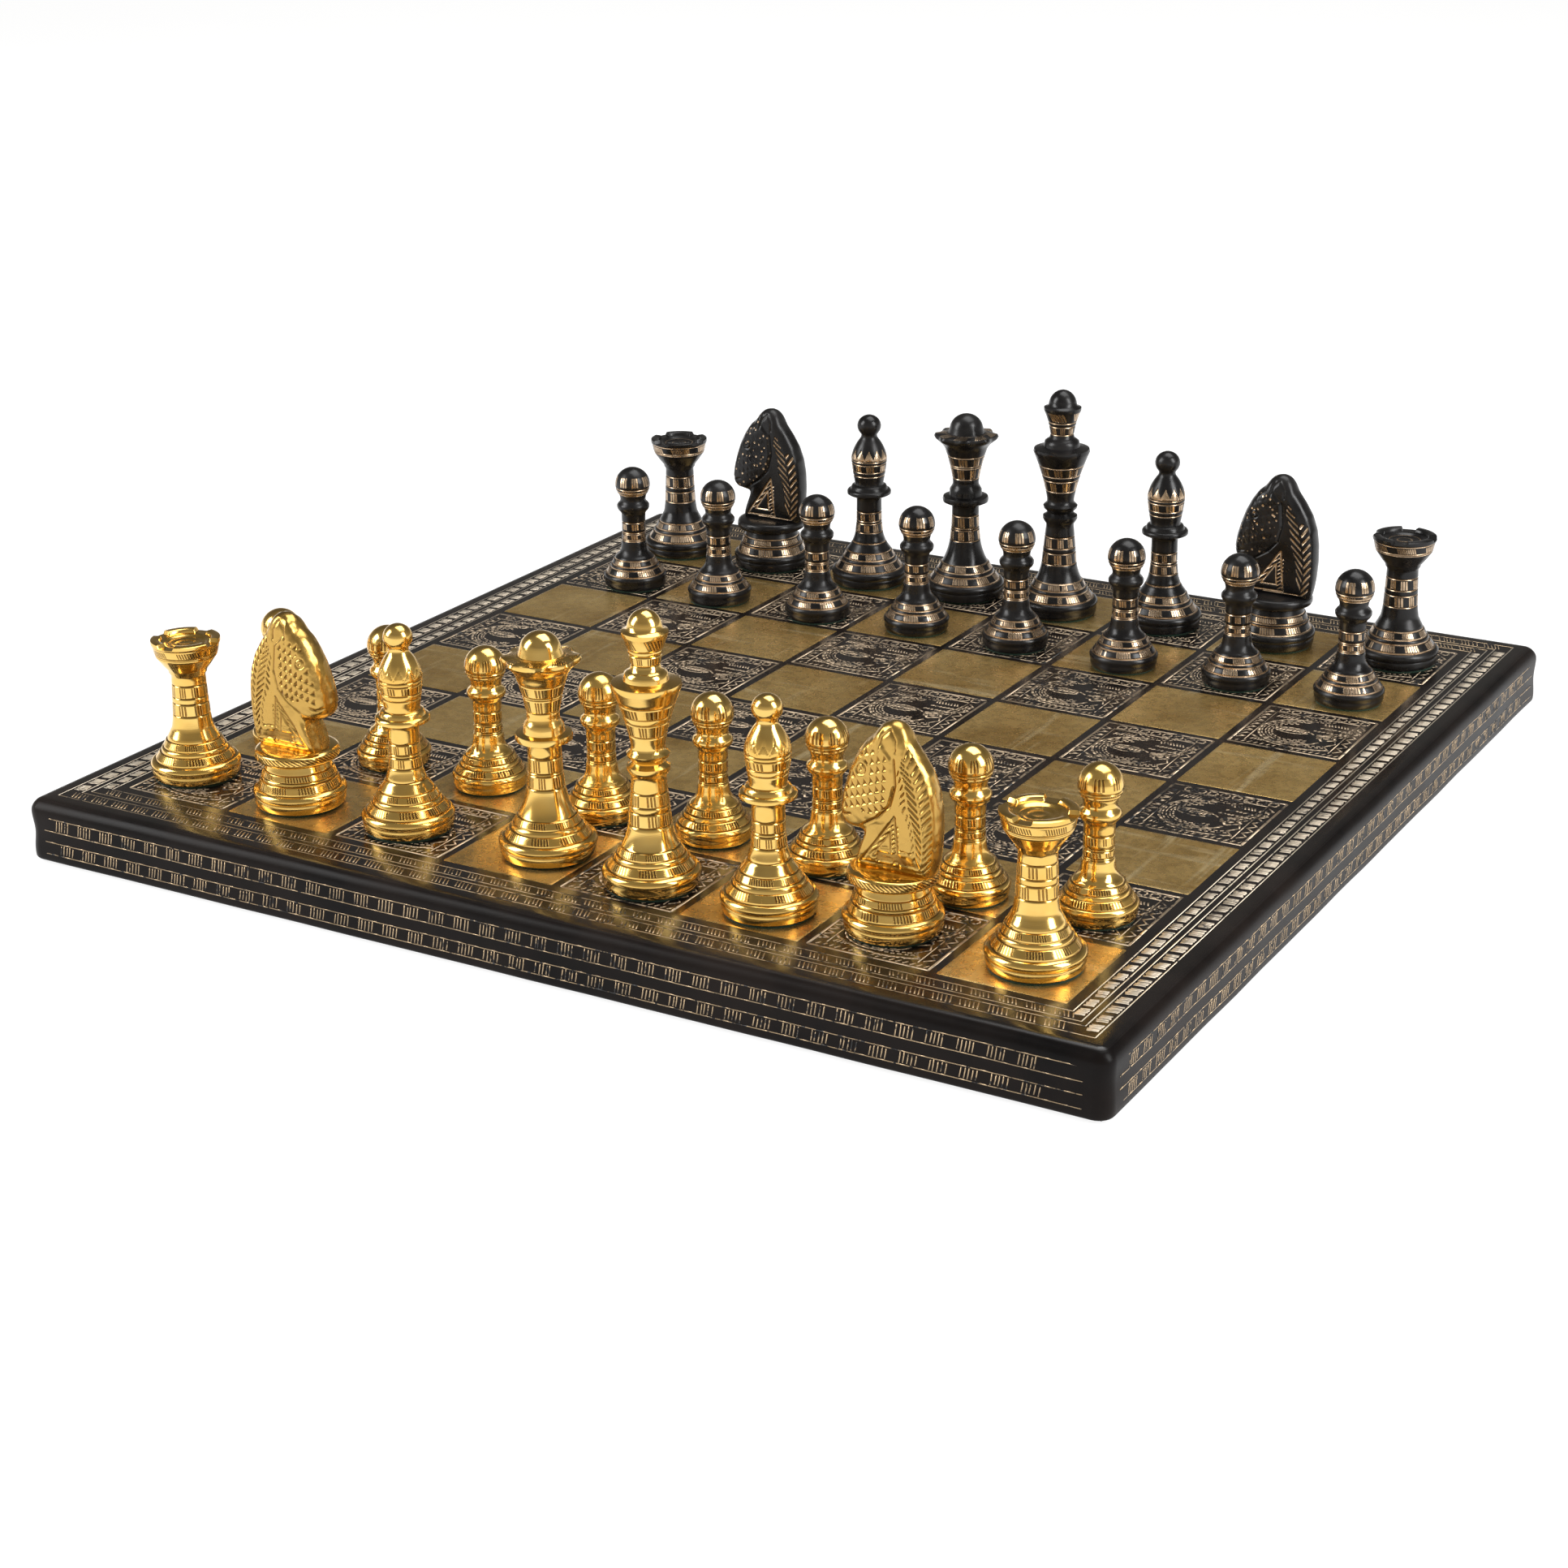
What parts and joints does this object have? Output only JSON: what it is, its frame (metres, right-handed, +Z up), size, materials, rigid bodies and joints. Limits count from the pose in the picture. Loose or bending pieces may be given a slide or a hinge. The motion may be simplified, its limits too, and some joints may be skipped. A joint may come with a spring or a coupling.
{
  "type": "chess set with board",
  "caption": "Flat square chess board with a black leather-look cover and gold-foil squares, set with turned brass and black-lacquered men on felt pads.",
  "frame": {"origin": "centre of the board's underside", "axes": "+X from the a-file to the h-file, +Y from the gold men's side to the black men's side, +Z up"},
  "size_m": [0.305, 0.305, 0.0865],
  "materials": {
    "panel": "raw fibreboard panel, hidden inside the covering",
    "covering": "semi-gloss black grained leatherette with stamped gold foil",
    "lining_felt": "dark felt",
    "polished_brass": "polished, with engraved rings and tally cuts",
    "black_lacquer": "satin black lacquer on brass, engraved through to the brass",
    "men_felt": "dark green felt"
  },
  "bodies": {
    "board": {"board_core": "panel", "board_cover": "covering", "base_lining": "lining_felt"},
    "gold_rook_a": {"gold_rook_a": "polished_brass", "gold_rook_a_pad": "men_felt"},
    "gold_knight_b": {"gold_knight_b_base": "polished_brass", "gold_knight_b_head": "polished_brass", "gold_knight_b_pad": "men_felt"},
    "gold_bishop_c": {"gold_bishop_c": "polished_brass", "gold_bishop_c_pad": "men_felt"},
    "gold_queen_d": {"gold_queen_d": "polished_brass", "gold_queen_d_pad": "men_felt"},
    "gold_king_e": {"gold_king_e": "polished_brass", "gold_king_e_pad": "men_felt"},
    "gold_bishop_f": {"gold_bishop_f": "polished_brass", "gold_bishop_f_pad": "men_felt"},
    "gold_knight_g": {"gold_knight_g_base": "polished_brass", "gold_knight_g_head": "polished_brass", "gold_knight_g_pad": "men_felt"},
    "gold_rook_h": {"gold_rook_h": "polished_brass", "gold_rook_h_pad": "men_felt"},
    "gold_pawn_a": {"gold_pawn_a": "polished_brass"},
    "gold_pawn_b": {"gold_pawn_b": "polished_brass"},
    "gold_pawn_c": {"gold_pawn_c": "polished_brass"},
    "gold_pawn_d": {"gold_pawn_d": "polished_brass"},
    "gold_pawn_e": {"gold_pawn_e": "polished_brass"},
    "gold_pawn_f": {"gold_pawn_f": "polished_brass"},
    "gold_pawn_g": {"gold_pawn_g": "polished_brass"},
    "gold_pawn_h": {"gold_pawn_h": "polished_brass"},
    "black_rook_a": {"black_rook_a": "black_lacquer", "black_rook_a_pad": "men_felt"},
    "black_knight_b": {"black_knight_b_base": "black_lacquer", "black_knight_b_head": "black_lacquer", "black_knight_b_pad": "men_felt"},
    "black_bishop_c": {"black_bishop_c": "black_lacquer", "black_bishop_c_pad": "men_felt"},
    "black_queen_d": {"black_queen_d": "black_lacquer", "black_queen_d_pad": "men_felt"},
    "black_king_e": {"black_king_e": "black_lacquer", "black_king_e_pad": "men_felt"},
    "black_bishop_f": {"black_bishop_f": "black_lacquer", "black_bishop_f_pad": "men_felt"},
    "black_knight_g": {"black_knight_g_base": "black_lacquer", "black_knight_g_head": "black_lacquer", "black_knight_g_pad": "men_felt"},
    "black_rook_h": {"black_rook_h": "black_lacquer", "black_rook_h_pad": "men_felt"},
    "black_pawn_a": {"black_pawn_a": "black_lacquer"},
    "black_pawn_b": {"black_pawn_b": "black_lacquer"},
    "black_pawn_c": {"black_pawn_c": "black_lacquer"},
    "black_pawn_d": {"black_pawn_d": "black_lacquer"},
    "black_pawn_e": {"black_pawn_e": "black_lacquer"},
    "black_pawn_f": {"black_pawn_f": "black_lacquer"},
    "black_pawn_g": {"black_pawn_g": "black_lacquer"},
    "black_pawn_h": {"black_pawn_h": "black_lacquer"}
  },
  "joints": [
    {"name": "lift_gold_rook_a", "type": "slide", "parent": "board", "child": "gold_rook_a", "axis": [0, 0, 1], "range_m": [0, 0.08]},
    {"name": "lift_gold_knight_b", "type": "slide", "parent": "board", "child": "gold_knight_b", "axis": [0, 0, 1], "range_m": [0, 0.08]},
    {"name": "lift_gold_bishop_c", "type": "slide", "parent": "board", "child": "gold_bishop_c", "axis": [0, 0, 1], "range_m": [0, 0.08]},
    {"name": "lift_gold_queen_d", "type": "slide", "parent": "board", "child": "gold_queen_d", "axis": [0, 0, 1], "range_m": [0, 0.08]},
    {"name": "lift_gold_king_e", "type": "slide", "parent": "board", "child": "gold_king_e", "axis": [0, 0, 1], "range_m": [0, 0.08]},
    {"name": "lift_gold_bishop_f", "type": "slide", "parent": "board", "child": "gold_bishop_f", "axis": [0, 0, 1], "range_m": [0, 0.08]},
    {"name": "lift_gold_knight_g", "type": "slide", "parent": "board", "child": "gold_knight_g", "axis": [0, 0, 1], "range_m": [0, 0.08]},
    {"name": "lift_gold_rook_h", "type": "slide", "parent": "board", "child": "gold_rook_h", "axis": [0, 0, 1], "range_m": [0, 0.08]},
    {"name": "lift_gold_pawn_a", "type": "slide", "parent": "board", "child": "gold_pawn_a", "axis": [0, 0, 1], "range_m": [0, 0.08]},
    {"name": "lift_gold_pawn_b", "type": "slide", "parent": "board", "child": "gold_pawn_b", "axis": [0, 0, 1], "range_m": [0, 0.08]},
    {"name": "lift_gold_pawn_c", "type": "slide", "parent": "board", "child": "gold_pawn_c", "axis": [0, 0, 1], "range_m": [0, 0.08]},
    {"name": "lift_gold_pawn_d", "type": "slide", "parent": "board", "child": "gold_pawn_d", "axis": [0, 0, 1], "range_m": [0, 0.08]},
    {"name": "lift_gold_pawn_e", "type": "slide", "parent": "board", "child": "gold_pawn_e", "axis": [0, 0, 1], "range_m": [0, 0.08]},
    {"name": "lift_gold_pawn_f", "type": "slide", "parent": "board", "child": "gold_pawn_f", "axis": [0, 0, 1], "range_m": [0, 0.08]},
    {"name": "lift_gold_pawn_g", "type": "slide", "parent": "board", "child": "gold_pawn_g", "axis": [0, 0, 1], "range_m": [0, 0.08]},
    {"name": "lift_gold_pawn_h", "type": "slide", "parent": "board", "child": "gold_pawn_h", "axis": [0, 0, 1], "range_m": [0, 0.08]},
    {"name": "lift_black_rook_a", "type": "slide", "parent": "board", "child": "black_rook_a", "axis": [0, 0, 1], "range_m": [0, 0.08]},
    {"name": "lift_black_knight_b", "type": "slide", "parent": "board", "child": "black_knight_b", "axis": [0, 0, 1], "range_m": [0, 0.08]},
    {"name": "lift_black_bishop_c", "type": "slide", "parent": "board", "child": "black_bishop_c", "axis": [0, 0, 1], "range_m": [0, 0.08]},
    {"name": "lift_black_queen_d", "type": "slide", "parent": "board", "child": "black_queen_d", "axis": [0, 0, 1], "range_m": [0, 0.08]},
    {"name": "lift_black_king_e", "type": "slide", "parent": "board", "child": "black_king_e", "axis": [0, 0, 1], "range_m": [0, 0.08]},
    {"name": "lift_black_bishop_f", "type": "slide", "parent": "board", "child": "black_bishop_f", "axis": [0, 0, 1], "range_m": [0, 0.08]},
    {"name": "lift_black_knight_g", "type": "slide", "parent": "board", "child": "black_knight_g", "axis": [0, 0, 1], "range_m": [0, 0.08]},
    {"name": "lift_black_rook_h", "type": "slide", "parent": "board", "child": "black_rook_h", "axis": [0, 0, 1], "range_m": [0, 0.08]},
    {"name": "lift_black_pawn_a", "type": "slide", "parent": "board", "child": "black_pawn_a", "axis": [0, 0, 1], "range_m": [0, 0.08]},
    {"name": "lift_black_pawn_b", "type": "slide", "parent": "board", "child": "black_pawn_b", "axis": [0, 0, 1], "range_m": [0, 0.08]},
    {"name": "lift_black_pawn_c", "type": "slide", "parent": "board", "child": "black_pawn_c", "axis": [0, 0, 1], "range_m": [0, 0.08]},
    {"name": "lift_black_pawn_d", "type": "slide", "parent": "board", "child": "black_pawn_d", "axis": [0, 0, 1], "range_m": [0, 0.08]},
    {"name": "lift_black_pawn_e", "type": "slide", "parent": "board", "child": "black_pawn_e", "axis": [0, 0, 1], "range_m": [0, 0.08]},
    {"name": "lift_black_pawn_f", "type": "slide", "parent": "board", "child": "black_pawn_f", "axis": [0, 0, 1], "range_m": [0, 0.08]},
    {"name": "lift_black_pawn_g", "type": "slide", "parent": "board", "child": "black_pawn_g", "axis": [0, 0, 1], "range_m": [0, 0.08]},
    {"name": "lift_black_pawn_h", "type": "slide", "parent": "board", "child": "black_pawn_h", "axis": [0, 0, 1], "range_m": [0, 0.08]}
  ]
}
